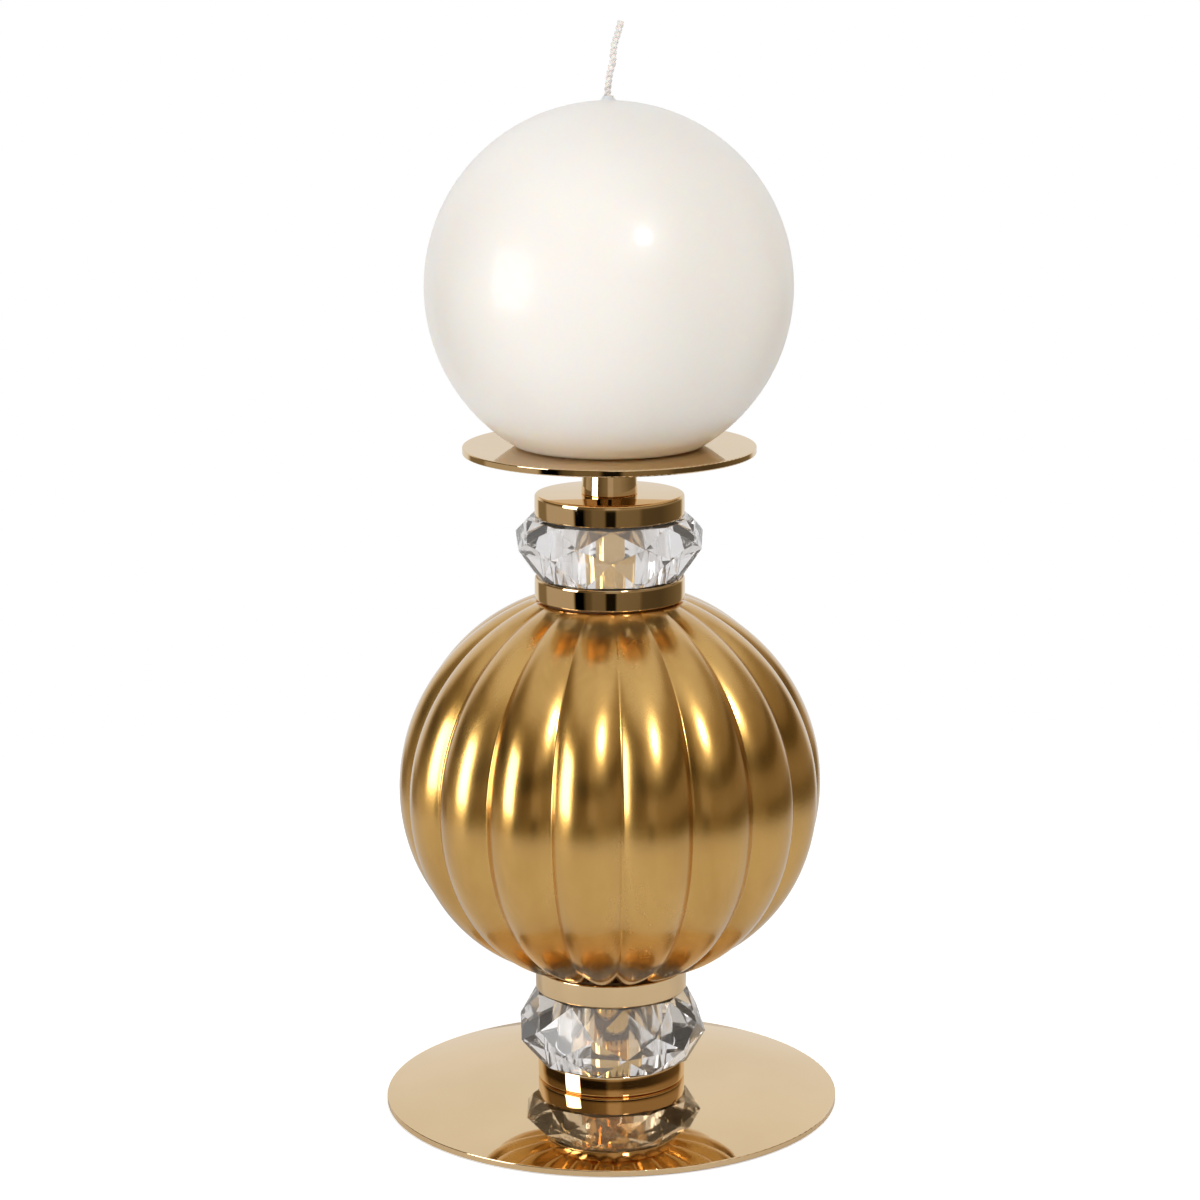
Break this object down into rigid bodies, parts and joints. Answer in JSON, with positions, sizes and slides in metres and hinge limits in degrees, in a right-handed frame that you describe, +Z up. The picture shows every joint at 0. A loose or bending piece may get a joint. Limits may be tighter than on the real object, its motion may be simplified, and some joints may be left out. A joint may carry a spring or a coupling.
{
  "type": "candle holder",
  "caption": "Tall candle holder: round polished base, clear cut crystal rings above and below a ribbed gold ball, and a thin plate that carries a ball candle on a spike.",
  "frame": {"origin": "on the surface it stands on, under the axis of the stack", "axes": "+Z up along the tie rod; -Y is the front; +X is to the right of the front, where the wick leans"},
  "size_m": [0.127, 0.127, 0.3019],
  "materials": {
    "polished_brass": "mirror polished",
    "brass_tube": "polished",
    "gold_glass": "satin gold lining under clear gloss glass",
    "crystal": "cut and polished",
    "plated_steel": "zinc plated",
    "clear_seal": "clear soft washer",
    "rubber_seal": "matte",
    "felt": "felt",
    "wax": "smooth white wax",
    "wick_cotton": "waxed braid"
  },
  "bodies": {
    "holder": {"base_plate": "polished_brass", "felt_ring": "felt", "base_washer": "plated_steel", "base_nut": "plated_steel", "tie_rod": "plated_steel", "base_collar": "polished_brass", "lower_crystal_seal_bottom": "clear_seal", "lower_crystal_ring": "crystal", "lower_crystal_seal_top": "clear_seal", "lower_sleeve": "brass_tube", "lower_ball_collar": "polished_brass", "ball_seal_bottom": "rubber_seal", "ribbed_ball": "gold_glass", "ball_seal_top": "rubber_seal", "ball_spacer_tube": "plated_steel", "upper_ball_collar": "polished_brass", "upper_crystal_seal_bottom": "clear_seal", "upper_crystal_ring": "crystal", "upper_crystal_seal_top": "clear_seal", "upper_sleeve": "brass_tube", "cap_disc": "polished_brass", "neck_spacer": "polished_brass", "candle_plate": "polished_brass", "candle_spike": "polished_brass"},
    "candle": {"candle_wax": "wax", "candle_wick": "wick_cotton"}
  },
  "joints": [
    {"name": "candle_lift", "type": "slide", "parent": "holder", "child": "candle", "axis": [0, 0, 1], "range_m": [0, 0.03]}
  ]
}
